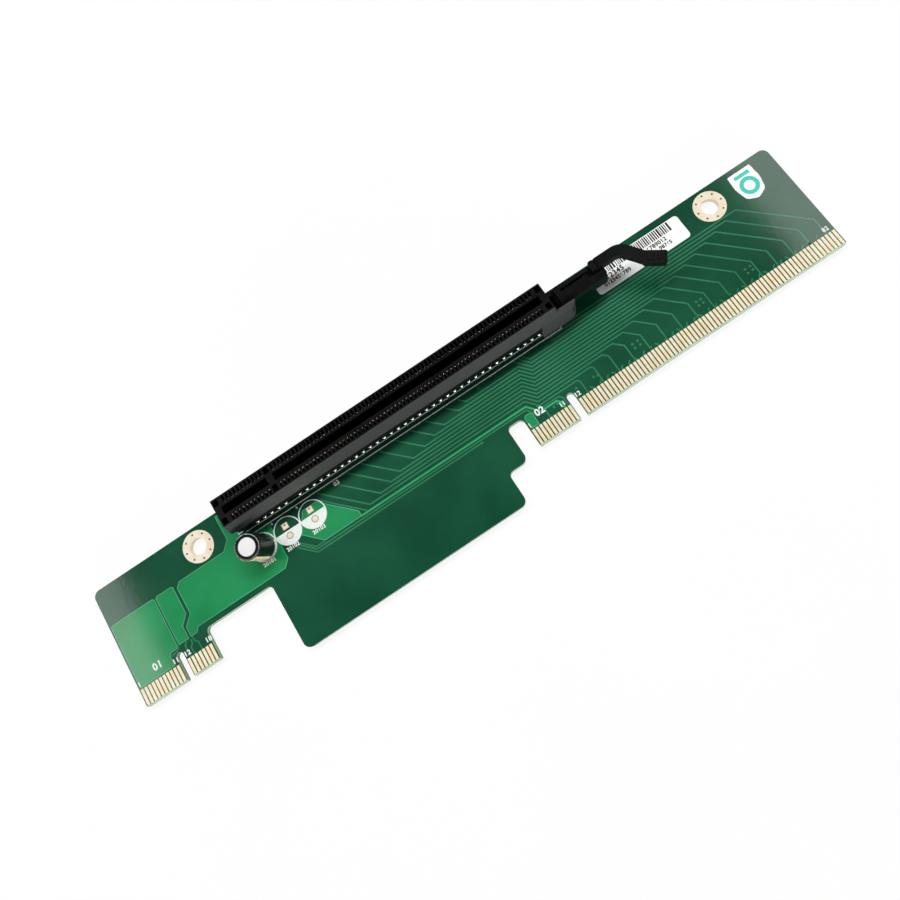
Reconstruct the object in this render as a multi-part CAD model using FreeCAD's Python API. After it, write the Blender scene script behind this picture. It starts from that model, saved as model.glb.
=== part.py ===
"""PCI Express riser card: a green circuit board with two card-edge tongues and one x16 socket.

Lengths are in millimetres.  The working frame has x from the board's left end, y from the
contact edge of the tongues and z from the component face.  seat() moves each finished shape
to the part's own frame, whose origin is the bottom centre of the card.
"""
import FreeCAD, Part
import math
import os

# --- card-edge standard ---
PITCH = 1.0                      # contact to contact
KEY_PINS = 11                    # contacts left of the key
KEY_GAP = 2.0                    # pitch added where the key stands
X1_PINS = 18
X16_PINS = 82
EDGE_MARGIN = 0.65               # tongue side to the first or last contact centre
NOTCH_WIDTH = 1.9
NOTCH_DEPTH = 6.8
FINGER_WIDTH = 0.7
FINGER_TOP = 4.35                # upper end of the gold fingers
FINGER_FOOT = 0.35               # where the bevel of the tongue begins
COPPER = 0.05                    # thickness of plated copper on the board

# --- board outline ---
BOARD_THICKNESS = 1.57
X16_PIN_ONE = 109.25             # first long-tongue contact from the left end
BOARD_TOP = 30.5                 # long top edge
BAY_TOP = 8.0                    # upper edge of the open bay and of the narrow slot
PANEL_LEFT = 38.7
PANEL_RIGHT = 98.9
PANEL_FOOT = -9.35
STEP_RIGHT = 104.35
STEP_FOOT = -1.15
CORNER_OUTER = 1.75
CORNER_INNER = 1.25
TIP_RADIUS = 0.4

# --- mounting holes ---
HOLE_Y = 25.75
HOLE_LEFT = 27.85
HOLE_RIGHT_INSET = 19.05         # right hole from the board's right end
HOLE_DIAMETER = 4.2
RING_DIAMETER = 7.9

# --- x16 socket ---
SOCKET_Y = 25.75                 # centre line of the card slot
SOCKET_PIN_ONE = 42.15
SOCKET_END = 3.0                 # end wall beyond the first or last contact
SOCKET_HEIGHT = 11.25
CROWN_HALF = 3.5                 # half width at the top
LIP_HALF = 4.4                   # half width at the lip
LIP_Z = 7.0
LIP_EDGE = 0.4
WAIST_HALF = 3.4                 # half width below the lip
RAIL_HALF = 0.8                  # half width of the rail that stands on the board
WAIST_Z = 1.6                    # underside of the waist, where the tails come out
END_DRAFT = 0.5
SLOT_HALF = 0.98
SLOT_FLOOR = 2.6
SLOT_END = 1.35                  # slot end from the first or last contact centre
KEY_RIB = 1.7
CELL_INNER = 1.6
CELL_OUTER = 3.1
CELL_WIDTH = 0.55
POCKET_WIDTH = 1.3
POCKET_DEPTH = 2.4
POCKET_INSET = 2.0               # end pocket centre from the first or last contact

# --- socket contacts ---
CONTACT_WIDTH = 0.4
CONTACT_GAUGE = 0.26
INNER_ROW = 1.85
OUTER_ROW = 2.87
TIP_Z = 9.7
JOINT_SIZE = 0.9                 # solder joint on the underside
JOINT_HEIGHT = 1.1

# --- latch block and latch ---
BLOCK_LENGTH = 6.15
BLOCK_TOP = 8.9
BLOCK_REAR = 2.8
BLOCK_CORNER = 3.2               # outer corner at the front
BLOCK_CORNER_REAR = 0.8
TROUGH_FLOOR = 2.4
CHEEK_FRONT = 3.4                # inner face of the front cheek from the centre line
CHEEK_REAR = 1.5                 # inner face of the rear cheek
CHEEK_REAR_TOP = 5.2
LATCH_GAP = 0.3
PIVOT_X = 3.65                   # latch axis from the end of the socket
PIVOT_Z = 4.4
PIVOT_RADIUS = 0.95
PIVOT_PLAY = 0.12                # radial clearance of the trunnions in their bores
BORE_DEPTH = 0.75                # bores into the cheeks
TRUNNION_LENGTH = 0.6            # reach of the trunnions into the bores
HUB_RADIUS = 1.6
LATCH_LEFT = 2.15                # latch body from the end of the socket
LATCH_RIGHT = 14.45
LATCH_BEVEL_WIDTH = 1.1          # slope along the front upper edge
LATCH_BEVEL_DROP = 0.5
PLATE_UNDER = 6.3
HEEL_START = 10.15               # deeper right end of the plate, from the end of the socket
HEEL_UNDER = 4.6
TOOTH_TOP = 7.7
TOOTH_DEPTH = 0.7
GROOVE_START = 3.55              # card groove from the end of the socket
GROOVE_WIDTH = 0.55
GROOVE_DEPTH = 2.0
GROOVE_LENGTH = 6.0
RECESS_LENGTH = 4.0              # shallow recess that ends the groove
RECESS_REACH = 1.4
RECESS_DEPTH = 0.6
LEVER_ROOT = 11.75               # lever's left end, from the end of the socket
LEVER_Y = 0.35                   # straight stretch behind the card's centre line
LEVER_WIDTH = 2.5
LEVER_TOP = 10.0
LEVER_UNDER = 7.7
LEVER_BEND = 19.75               # first bend, from the end of the socket
LEVER_RADIUS = 3.3
ROOT_CORNER = 0.6
NOTCH_AT = 1.3                   # cross notch from the lever's left end
NOTCH_ACROSS = 0.5
NOTCH_SINK = 0.4
GRIP_START = 23.45               # second bend, where the grip begins
GRIP_START_DROP = 5.3            # sideways offset of the second bend
GRIP_END = 27.25
GRIP_END_DROP = 8.0
GRIP_WIDTH = 2.9
GRIP_LEAD = 0.7                  # grip plate before the second bend
GRIP_CORNER = 0.5
RIB_COUNT = 4
RIB_PITCH = 1.2
RIB_WIDTH = 0.4
RIB_RISE = 0.3

# --- electrolytic capacitor and its two empty places ---
CAP_X = 41.3
CAP_Y = 16.75
CAP_SPACING = 7.0
CAP_DIAMETER = 6.3
CAP_HEIGHT = 8.6
CAP_LEAN = 4.5                   # degrees
LEAN_HEADING = 225.0             # degrees from +x, towards the front left
CAP_FOOT = 0.15                  # height of the can's rim over the board
CAN_RIM = 0.6                    # radial width of the rim round the bung
BUNG_TOP = 0.9
SLEEVE = 0.15                    # thickness of the sleeve
SLEEVE_LAP = 0.85                # sleeve turned in over the top of the can
SLEEVE_BEVEL = 0.5
LEAD_TOP = 0.3
LEAD_SPACING = 2.5
LEAD_DIAMETER = 0.5
PAD_SIZE = 1.5

# --- labels ---
LABEL_THICKNESS = 0.1
BARCODE_TO_HOLE = 7.65           # right end of the long label from the right hole
BARCODE_FOOT = 22.2
BARCODE_LENGTH = 25.8
BARCODE_WIDTH = 6.5
BARCODE_CORNER = 0.9
SHIELD_INSET = 8.55              # middle of the shield label from the board's right end
SHIELD_TOP = 29.1
SHIELD_HALF = 3.1                # half width at the top
SHIELD_BULGE = 3.35              # half width at the bulge
SHIELD_BULGE_DROP = 3.7          # bulge below the top
SHIELD_CHEEK = 2.6               # half width where the sides turn to the tip
SHIELD_CHEEK_RISE = 1.2          # that turn above the tip
SHIELD_HEIGHT = 8.3
SHIELD_TOP_RADIUS = 0.3
SHIELD_SIDE_RADIUS = 4.0
SHIELD_CHEEK_RADIUS = 1.5
SHIELD_TIP_RADIUS = 1.0

X1_RIGHT = (X1_PINS - 1) * PITCH + KEY_GAP + 2 * EDGE_MARGIN
X16_SPAN = (X16_PINS - 1) * PITCH + KEY_GAP
BOARD_LENGTH = X16_PIN_ONE + X16_SPAN + EDGE_MARGIN
SOCKET_LEFT = SOCKET_PIN_ONE - SOCKET_END
SOCKET_RIGHT = SOCKET_PIN_ONE + X16_SPAN + SOCKET_END
HOLE_RIGHT = BOARD_LENGTH - HOLE_RIGHT_INSET
BARCODE_RIGHT = HOLE_RIGHT - BARCODE_TO_HOLE
SHIELD_X = BOARD_LENGTH - SHIELD_INSET
MID_X = BOARD_LENGTH / 2
MID_Y = (BOARD_TOP + PANEL_FOOT) / 2
FACE_Z = JOINT_HEIGHT + BOARD_THICKNESS
UP = FreeCAD.Vector(0, 0, 1)
ALONG_X = FreeCAD.Vector(1, 0, 0)
ALONG_Y = FreeCAD.Vector(0, 1, 0)
OVERCUT = 0.5                    # how far a cutter runs past the face it cuts


def point(x, y, z=0.0):
    """Return a FreeCAD vector."""
    return FreeCAD.Vector(x, y, z)


def box(x_range, y_range, z_range):
    """Return a block between three pairs of limits."""
    size = [limits[1] - limits[0] for limits in (x_range, y_range, z_range)]
    return Part.makeBox(*size, point(x_range[0], y_range[0], z_range[0]))


def rod(x, y, z_range, radius):
    """Return an upright cylinder."""
    return Part.makeCylinder(radius, z_range[1] - z_range[0], point(x, y, z_range[0]))


def rounded_wire(corners, z=0.0):
    """Return a closed wire through (x, y, radius) corners, each rounded by a tangent arc."""
    edges = []
    last_end = None
    first_start = None
    for index, (x, y, radius) in enumerate(corners):
        corner = point(x, y, z)
        before = point(*corners[index - 1][:2], z) - corner
        after = point(*corners[(index + 1) % len(corners)][:2], z) - corner
        start, end = corner, corner
        if radius > 0:
            half = before.getAngle(after) / 2
            start = corner + before.normalize() * (radius / math.tan(half))
            end = corner + after.normalize() * (radius / math.tan(half))
            inward = (before + after).normalize()
            crest = corner + inward * (radius / math.sin(half) - radius)
        if last_end is not None:
            edges.append(Part.LineSegment(last_end, start).toShape())
        if radius > 0:
            edges.append(Part.Arc(start, crest, end).toShape())
        first_start = first_start or start
        last_end = end
    edges.append(Part.LineSegment(last_end, first_start).toShape())
    return Part.Wire(edges)


def plate(corners, z_range):
    """Return a flat plate with rounded corners."""
    face = Part.Face(rounded_wire(corners, z_range[0]))
    return face.extrude(UP * (z_range[1] - z_range[0]))


def prism(profile, axis, length):
    """Return a closed profile of vectors pushed along an axis."""
    face = Part.Face(Part.makePolygon(profile + profile[:1]))
    return face.extrude(axis * length)


def turned(profile, x, y):
    """Return (radius, z) points turned about an upright axis."""
    points = [point(x + radius, y, z) for radius, z in profile]
    face = Part.Face(Part.makePolygon(points + points[:1]))
    return face.revolve(point(x, y), UP, 360)


def pin_x(first, number):
    """Return the centre of contact `number` of a keyed row that starts at `first`."""
    key = KEY_GAP if number > KEY_PINS else 0.0
    return first + (number - 1) * PITCH + key


def key_x(first):
    """Return the centre of the key between contacts 11 and 12."""
    return (pin_x(first, KEY_PINS) + pin_x(first, KEY_PINS + 1)) / 2


def seat(shape):
    """Return the shape moved from the working frame to the part's own frame."""
    moved = shape.copy()
    moved.translate(point(-MID_X, -MID_Y, FACE_Z))
    return moved


def cap_leads():
    """Return the (x, y) places of all the capacitor lead holes, upper one of each pair first."""
    offset = LEAD_SPACING / 2
    centres = [CAP_X + index * CAP_SPACING for index in range(3)]
    return [[(x, CAP_Y + offset), (x, CAP_Y - offset)] for x in centres]


def board_outline():
    """Return the rounded corners of the board, clockwise seen from below."""
    return [
        (0, 0, TIP_RADIUS),
        (X1_RIGHT, 0, TIP_RADIUS),
        (X1_RIGHT, BAY_TOP, CORNER_INNER),
        (PANEL_LEFT, BAY_TOP, CORNER_INNER),
        (PANEL_LEFT, PANEL_FOOT, CORNER_OUTER),
        (PANEL_RIGHT, PANEL_FOOT, CORNER_OUTER),
        (PANEL_RIGHT, STEP_FOOT, CORNER_INNER),
        (STEP_RIGHT, STEP_FOOT, CORNER_OUTER),
        (STEP_RIGHT, BAY_TOP, CORNER_INNER),
        (X16_PIN_ONE - EDGE_MARGIN, BAY_TOP, CORNER_INNER),
        (X16_PIN_ONE - EDGE_MARGIN, 0, TIP_RADIUS),
        (BOARD_LENGTH, 0, TIP_RADIUS),
        (BOARD_LENGTH, BOARD_TOP, CORNER_OUTER),
        (0, BOARD_TOP, CORNER_OUTER),
    ]


def key_notch(x):
    """Return the cutter for a key notch with a round inner end."""
    radius = NOTCH_WIDTH / 2
    z_range = (-BOARD_THICKNESS - OVERCUT, OVERCUT)
    shaft = box((x - radius, x + radius), (-OVERCUT, NOTCH_DEPTH - radius), z_range)
    return shaft.fuse(rod(x, NOTCH_DEPTH - radius, z_range, radius))


def tongue_bevels(left, right):
    """Return the cutters that bevel both faces of a tongue along its contact edge."""
    cutters = []
    for face, inward in ((0.0, -1), (-BOARD_THICKNESS, 1)):
        profile = [
            point(left, -OVERCUT, face - inward * OVERCUT),
            point(left, FINGER_FOOT + OVERCUT, face - inward * OVERCUT),
            point(left, -OVERCUT, face + inward * (FINGER_FOOT + OVERCUT)),
        ]
        cutters.append(prism(profile, ALONG_X, right - left))
    return cutters


def circuit_board():
    """Return the board with its notches, bevels and drilled holes."""
    z_range = (-BOARD_THICKNESS, 0.0)
    drill = (-BOARD_THICKNESS - OVERCUT, OVERCUT)
    board = plate(board_outline(), z_range)
    cutters = [key_notch(key_x(EDGE_MARGIN)), key_notch(key_x(X16_PIN_ONE))]
    cutters += tongue_bevels(-OVERCUT, X1_RIGHT + OVERCUT)
    cutters += tongue_bevels(X16_PIN_ONE - EDGE_MARGIN - OVERCUT, BOARD_LENGTH + OVERCUT)
    for x in (HOLE_LEFT, HOLE_RIGHT):
        cutters.append(rod(x, HOLE_Y, drill, HOLE_DIAMETER / 2 + COPPER))
    cutters += [rod(x, y, drill, LEAD_DIAMETER / 2) for x, y in cap_leads()[0]]
    return board.cut(Part.makeCompound(cutters))


def edge_fingers(first, count, underside):
    """Return one side's row of gold fingers as a group of thin pads."""
    z_range = (-BOARD_THICKNESS - COPPER, -BOARD_THICKNESS) if underside else (0.0, COPPER)
    fingers = []
    for number in range(1, count + 1):
        x = pin_x(first, number)
        x_range = (x - FINGER_WIDTH / 2, x + FINGER_WIDTH / 2)
        fingers.append(box(x_range, (FINGER_FOOT, FINGER_TOP), z_range))
    return Part.makeCompound(fingers)


def plated_hole(x, y, hole, ring):
    """Return a plated hole: a barrel through the board with a flat ring on each face."""
    top = COPPER
    foot = -BOARD_THICKNESS - COPPER
    wall = hole / 2 + COPPER
    profile = [
        (hole / 2, foot), (ring / 2, foot), (ring / 2, -BOARD_THICKNESS), (wall, -BOARD_THICKNESS),
        (wall, 0.0), (ring / 2, 0.0), (ring / 2, top), (hole / 2, top),
    ]
    return turned(profile, x, y)


def socket_section(x, feet):
    """Return half of the socket's cross section as (offset, z) pairs from the foot upwards."""
    crown = [(LIP_HALF, LIP_Z), (CROWN_HALF, SOCKET_HEIGHT)]
    half = feet + crown
    right = [point(x, SOCKET_Y + offset, z) for offset, z in half]
    left = [point(x, SOCKET_Y - offset, z) for offset, z in reversed(half)]
    return right + left


def socket_shell():
    """Return the long moulding: flared crown, lip and waist, with a drafted left end."""
    feet = [
        (RAIL_HALF, 0.0), (RAIL_HALF, WAIST_Z), (WAIST_HALF, WAIST_Z),
        (WAIST_HALF, LIP_Z - 2 * LIP_EDGE), (LIP_HALF, LIP_Z - LIP_EDGE),
    ]
    left = SOCKET_LEFT - END_DRAFT
    body = prism(socket_section(left, feet), ALONG_X, SOCKET_RIGHT - left)
    y = SOCKET_Y - LIP_HALF - OVERCUT
    side = [
        point(left, y, 0.0), point(left, y, LIP_Z), point(SOCKET_LEFT, y, SOCKET_HEIGHT),
        point(SOCKET_RIGHT, y, SOCKET_HEIGHT), point(SOCKET_RIGHT, y, 0.0),
    ]
    return body.common(prism(side, ALONG_Y, 2 * (LIP_HALF + OVERCUT)))


def pivot_pin(radius, depth):
    """Return a cylinder on the latch's axis that reaches `depth` into both cheeks."""
    start = point(SOCKET_RIGHT + PIVOT_X, SOCKET_Y - CHEEK_FRONT - depth, PIVOT_Z)
    return Part.makeCylinder(radius, CHEEK_FRONT + CHEEK_REAR + 2 * depth, start, ALONG_Y)


def latch_block():
    """Return the moulded block at the socket's right end, with two cheeks for the latch."""
    left = SOCKET_RIGHT - LIP_HALF
    right = SOCKET_RIGHT + BLOCK_LENGTH
    front = SOCKET_Y - LIP_HALF
    rear = SOCKET_Y + BLOCK_REAR
    corners = [
        (left, front, 0), (right, front, BLOCK_CORNER),
        (right, rear, BLOCK_CORNER_REAR), (left, rear, 0),
    ]
    block = plate(corners, (0.0, BLOCK_TOP))
    flare = prism(socket_section(left, [(LIP_HALF, 0.0)]), ALONG_X, right - left)
    block = block.common(flare)
    trough_y = (SOCKET_Y - CHEEK_FRONT, SOCKET_Y + CHEEK_REAR)
    trough = box((SOCKET_RIGHT, right + OVERCUT), trough_y, (TROUGH_FLOOR, BLOCK_TOP + OVERCUT))
    low_y = (trough_y[1] - OVERCUT, rear + OVERCUT)
    low = box((SOCKET_RIGHT, right + OVERCUT), low_y, (CHEEK_REAR_TOP, BLOCK_TOP + OVERCUT))
    bore = pivot_pin(PIVOT_RADIUS + PIVOT_PLAY, BORE_DEPTH)
    return block.cut(Part.makeCompound([trough, low])).cut(bore)


def contact_cells():
    """Return the cutters for the contact cells beside the card slot, one per contact."""
    cells = []
    for number in range(1, X16_PINS + 1):
        x = pin_x(SOCKET_PIN_ONE, number)
        x_range = (x - CELL_WIDTH / 2, x + CELL_WIDTH / 2)
        for y_range in ((CELL_INNER, CELL_OUTER), (-CELL_OUTER, -CELL_INNER)):
            seated = (SOCKET_Y + y_range[0], SOCKET_Y + y_range[1])
            cells.append(box(x_range, seated, (-OVERCUT, SOCKET_HEIGHT + OVERCUT)))
    return cells


def card_slots():
    """Return the cutters for the card slot, split by the key rib."""
    last = pin_x(SOCKET_PIN_ONE, X16_PINS)
    key = key_x(SOCKET_PIN_ONE)
    y_range = (SOCKET_Y - SLOT_HALF, SOCKET_Y + SLOT_HALF)
    z_range = (SLOT_FLOOR, SOCKET_HEIGHT + OVERCUT)
    left = box((SOCKET_PIN_ONE - SLOT_END, key - KEY_RIB / 2), y_range, z_range)
    right = box((key + KEY_RIB / 2, last + SLOT_END), y_range, z_range)
    return [left, right]


def blind_pockets():
    """Return the cutters for the core-out pockets at both ends and beside the key rib."""
    last = pin_x(SOCKET_PIN_ONE, X16_PINS)
    centres = [SOCKET_PIN_ONE - POCKET_INSET, key_x(SOCKET_PIN_ONE), last + POCKET_INSET]
    half = POCKET_WIDTH / 2
    z_range = (SOCKET_HEIGHT - POCKET_DEPTH, SOCKET_HEIGHT + OVERCUT)
    pockets = []
    for x in centres:
        for near, far in ((CELL_INNER, CELL_OUTER), (-CELL_OUTER, -CELL_INNER)):
            pockets.append(box((x - half, x + half), (SOCKET_Y + near, SOCKET_Y + far), z_range))
    return pockets


def socket_housing():
    """Return the black socket moulding with its latch block."""
    housing = socket_shell().fuse(latch_block())
    cutters = contact_cells() + card_slots() + blind_pockets()
    return housing.cut(Part.makeCompound(cutters)).removeSplitter()


def strip_profile(x, centre_line):
    """Return the outline of a thin strip that follows (y, z) points at constant gauge."""
    half = CONTACT_GAUGE / 2
    near = [point(x, y - half, z) for y, z in centre_line]
    far = [point(x, y + half, z) for y, z in reversed(centre_line)]
    return near + far


def contact(number, side, outer):
    """Return one socket contact: a tail on its board pad and a spring blade in its cell."""
    x = pin_x(SOCKET_PIN_ONE, number) - CONTACT_WIDTH / 2
    line = [(INNER_ROW, 0.0), (INNER_ROW, TIP_Z)]
    if outer:
        line = [(OUTER_ROW, 0.0), (OUTER_ROW, WAIST_Z + PITCH), (INNER_ROW, TIP_Z)]
    seated = [(SOCKET_Y + side * offset, z) for offset, z in line]
    return prism(strip_profile(x, seated), ALONG_X, CONTACT_WIDTH)


def contact_row(side, outer):
    """Return every second contact of one side of the socket as a group."""
    first = 2 if outer else 1
    return Part.makeCompound([contact(n, side, outer) for n in range(first, X16_PINS + 1, 2)])


def latch_hub():
    """Return the latch's hub with its two trunnions and the tooth that catches the card."""
    x = SOCKET_RIGHT + PIVOT_X
    y = SOCKET_Y - CHEEK_FRONT + LATCH_GAP
    width = CHEEK_FRONT + CHEEK_REAR - 2 * LATCH_GAP
    left = SOCKET_RIGHT + LATCH_LEFT
    right = SOCKET_RIGHT + BLOCK_LENGTH + LATCH_GAP
    side = [
        point(left, y, PIVOT_Z), point(left, y, TOOTH_TOP - 2 * TOOTH_DEPTH),
        point(left - TOOTH_DEPTH, y, TOOTH_TOP - TOOTH_DEPTH / 2), point(left, y, TOOTH_TOP),
        point(left, y, BLOCK_TOP), point(right, y, BLOCK_TOP), point(right, y, PLATE_UNDER),
        point(x + HUB_RADIUS, y, PIVOT_Z),
    ]
    upper = prism(side, ALONG_Y, width)
    drum = Part.makeCylinder(HUB_RADIUS, width, point(x, y, PIVOT_Z), ALONG_Y)
    return upper.fuse([drum, pivot_pin(PIVOT_RADIUS, TRUNNION_LENGTH)])


def latch_plate():
    """Return the plate of the latch beyond the cheeks, with its deeper heel."""
    left = SOCKET_RIGHT + BLOCK_LENGTH + LATCH_GAP
    heel = SOCKET_RIGHT + HEEL_START
    right = SOCKET_RIGHT + LATCH_RIGHT
    y = SOCKET_Y - CHEEK_FRONT + LATCH_GAP
    side = [
        point(left, y, PLATE_UNDER), point(heel, y, PLATE_UNDER), point(heel, y, HEEL_UNDER),
        point(right, y, HEEL_UNDER), point(right, y, BLOCK_TOP), point(left, y, BLOCK_TOP),
    ]
    return prism(side, ALONG_Y, CHEEK_FRONT + CHEEK_REAR - 2 * LATCH_GAP)


def latch_body():
    """Return hub and plate with the sloped front edge, the card groove and its recess."""
    front = SOCKET_Y - CHEEK_FRONT + LATCH_GAP
    x = SOCKET_RIGHT - OVERCUT
    wedge = [
        point(x, front - OVERCUT, BLOCK_TOP + OVERCUT),
        point(x, front - OVERCUT, BLOCK_TOP - LATCH_BEVEL_DROP),
        point(x, front, BLOCK_TOP - LATCH_BEVEL_DROP), point(x, front + LATCH_BEVEL_WIDTH, BLOCK_TOP),
        point(x, front + LATCH_BEVEL_WIDTH, BLOCK_TOP + OVERCUT),
    ]
    groove_x = SOCKET_RIGHT + GROOVE_START
    recess_x = groove_x + GROOVE_LENGTH
    half = GROOVE_WIDTH / 2
    above = BLOCK_TOP + OVERCUT
    cutters = [
        prism(wedge, ALONG_X, LATCH_RIGHT + 2 * OVERCUT),
        box((groove_x, recess_x), (SOCKET_Y - half, SOCKET_Y + half), (BLOCK_TOP - GROOVE_DEPTH, above)),
        box(
            (recess_x, recess_x + RECESS_LENGTH), (SOCKET_Y - RECESS_REACH, SOCKET_Y + half),
            (BLOCK_TOP - RECESS_DEPTH, above),
        ),
    ]
    return latch_hub().fuse(latch_plate()).cut(Part.makeCompound(cutters))


def band_corners(route, width):
    """Return plate corners of a band of constant width along (x, y, radius) points."""
    places = [point(x, y) for x, y, _ in route]
    runs = [(after - before).normalize() for before, after in zip(places, places[1:])]
    left, right = [], []
    for index, place in enumerate(places):
        into = runs[max(index - 1, 0)]
        away = runs[min(index, len(runs) - 1)]
        middle = (into + away).normalize()
        reach = UP.cross(middle) * (width / 2 / middle.dot(into))
        radius = route[index][2]
        shift = math.copysign(width / 2, into.cross(away).z) if radius > 0 else 0.0
        left.append(((place + reach).x, (place + reach).y, radius - shift))
        right.append(((place - reach).x, (place - reach).y, radius + shift))
    return right + left[::-1]


def lever_route():
    """Return the lever's line: straight, one round bend, then the grip."""
    y = SOCKET_Y + LEVER_Y
    return [
        (SOCKET_RIGHT + LEVER_ROOT, y, 0), (SOCKET_RIGHT + LEVER_BEND, y, LEVER_RADIUS),
        (SOCKET_RIGHT + GRIP_START, y - GRIP_START_DROP, LEVER_RADIUS),
        (SOCKET_RIGHT + GRIP_END, y - GRIP_END_DROP, 0),
    ]


def lever():
    """Return the finger lever with the cross notch at its root."""
    corners = band_corners(lever_route(), LEVER_WIDTH)
    x, y, _ = corners[-1]
    corners[-1] = (x, y, ROOT_CORNER)
    blade = plate(corners, (LEVER_UNDER, LEVER_TOP))
    notch_x = x + NOTCH_AT
    z_range = (LEVER_TOP - NOTCH_SINK, LEVER_TOP + OVERCUT)
    notch = box((notch_x, notch_x + NOTCH_ACROSS), (y - LEVER_WIDTH - OVERCUT, y + OVERCUT), z_range)
    return blade.cut(notch)


def grip():
    """Return the wider end of the lever with its cross ribs."""
    (x0, y0, _), (x1, y1, _) = lever_route()[2:]
    along = (point(x1, y1) - point(x0, y0)).normalize()
    start = point(x0, y0) - along * GRIP_LEAD
    route = [(start.x, start.y, 0), (x1, y1, 0)]
    corners = [(x, y, GRIP_CORNER) for x, y, _ in band_corners(route, GRIP_WIDTH)]
    pad = plate(corners, (LEVER_UNDER, LEVER_TOP))
    across = UP.cross(along) * (GRIP_WIDTH / 2 - GRIP_CORNER)
    ribs = []
    for index in range(RIB_COUNT):
        middle = point(x1, y1) - along * (RIB_PITCH * (index + 0.5))
        ends = [middle + across, middle - across]
        rib = band_corners([(end.x, end.y, 0) for end in ends], RIB_WIDTH)
        ribs.append(plate(rib, (LEVER_TOP, LEVER_TOP + RIB_RISE)))
    return pad.fuse(ribs)


def retention_latch():
    """Return the latch: hub, plate, lever and grip in one moulding."""
    return latch_body().fuse([lever(), grip()]).removeSplitter()


def leaned(shape):
    """Return a capacitor piece leaned over the front left edge of its foot."""
    moved = shape.copy()
    turn = math.radians(LEAN_HEADING)
    heading = point(math.cos(turn), math.sin(turn))
    foot = point(CAP_X, CAP_Y) + heading * (CAP_DIAMETER / 2)
    moved.rotate(foot, UP.cross(heading), CAP_LEAN)
    return moved


def capacitor_can():
    """Return the aluminium can, with the recess that holds its bung."""
    radius = CAP_DIAMETER / 2 - SLEEVE
    profile = [
        (0.0, BUNG_TOP), (radius - CAN_RIM, BUNG_TOP), (radius - CAN_RIM, CAP_FOOT),
        (radius, CAP_FOOT), (radius, CAP_HEIGHT), (0.0, CAP_HEIGHT),
    ]
    return leaned(turned(profile, CAP_X, CAP_Y))


def capacitor_sleeve():
    """Return the shrunk plastic sleeve, turned in over the top edge of the can."""
    radius = CAP_DIAMETER / 2 - SLEEVE
    outer = CAP_DIAMETER / 2
    top = CAP_HEIGHT + SLEEVE
    profile = [
        (radius, CAP_FOOT), (outer, CAP_FOOT), (outer, top - SLEEVE_BEVEL), (outer - SLEEVE_BEVEL, top),
        (radius - SLEEVE_LAP, top), (radius - SLEEVE_LAP, CAP_HEIGHT), (radius, CAP_HEIGHT),
    ]
    return leaned(turned(profile, CAP_X, CAP_Y))


def capacitor_leads():
    """Return the two straight leads through the board."""
    foot = -BOARD_THICKNESS - JOINT_HEIGHT
    z_range = (foot, LEAD_TOP)
    return Part.makeCompound([rod(x, y, z_range, LEAD_DIAMETER / 2) for x, y in cap_leads()[0]])


def capacitor_bung():
    """Return the rubber bung that seals the can round its leads."""
    radius = CAP_DIAMETER / 2 - SLEEVE - CAN_RIM
    bung = leaned(rod(CAP_X, CAP_Y, (CAP_FOOT, BUNG_TOP), radius))
    return bung.cut(capacitor_leads())


def solder_joint(x, y):
    """Return one pointed solder joint on the underside of the board."""
    face = -BOARD_THICKNESS
    half = JOINT_SIZE / 2
    steps = ((-half, 0.0), (0.0, -half), (half, 0.0), (0.0, half))
    base = [point(x + across, y + along, face) for across, along in steps]
    tip = point(x, y, face - JOINT_HEIGHT)
    rings = [[base[i - 1], base[i], tip] for i in range(len(base))] + [base]
    faces = [Part.Face(Part.makePolygon(ring + ring[:1])) for ring in rings]
    return Part.makeSolid(Part.makeShell(faces))


def socket_joints():
    """Return the solder joints of the socket's tails, four rows, as one group."""
    joints = []
    for number in range(1, X16_PINS + 1):
        row = INNER_ROW if number % 2 else OUTER_ROW
        x = pin_x(SOCKET_PIN_ONE, number)
        joints += [solder_joint(x, SOCKET_Y - row), solder_joint(x, SOCKET_Y + row)]
    return Part.makeCompound(joints)


def empty_pads(index):
    """Return the tinned pads of the two empty places: the square (0) or the round (1) ones."""
    half = PAD_SIZE / 2
    pads = []
    for pair in cap_leads()[1:]:
        x, y = pair[index]
        if index:
            pads.append(rod(x, y, (0.0, COPPER), half))
        else:
            pads.append(box((x - half, x + half), (y - half, y + half), (0.0, COPPER)))
    return Part.makeCompound(pads)


def barcode_label():
    """Return the flat paper label beside the latch."""
    left = BARCODE_RIGHT - BARCODE_LENGTH
    top = BARCODE_FOOT + BARCODE_WIDTH
    places = ((left, BARCODE_FOOT), (BARCODE_RIGHT, BARCODE_FOOT), (BARCODE_RIGHT, top), (left, top))
    return plate([(x, y, BARCODE_CORNER) for x, y in places], (0.0, LABEL_THICKNESS))


def shield_label():
    """Return the small shield-shaped label near the right mounting hole."""
    bulge_y = SHIELD_TOP - SHIELD_BULGE_DROP
    foot = SHIELD_TOP - SHIELD_HEIGHT
    half_outline = [
        (SHIELD_HALF, SHIELD_TOP, SHIELD_TOP_RADIUS),
        (SHIELD_BULGE, bulge_y, SHIELD_SIDE_RADIUS),
        (SHIELD_CHEEK, foot + SHIELD_CHEEK_RISE, SHIELD_CHEEK_RADIUS),
    ]
    left = [(SHIELD_X - half, y, radius) for half, y, radius in half_outline]
    right = [(SHIELD_X + half, y, radius) for half, y, radius in reversed(half_outline)]
    tip = [(SHIELD_X, foot, SHIELD_TIP_RADIUS)]
    return plate(left + tip + right, (0.0, LABEL_THICKNESS))


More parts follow.
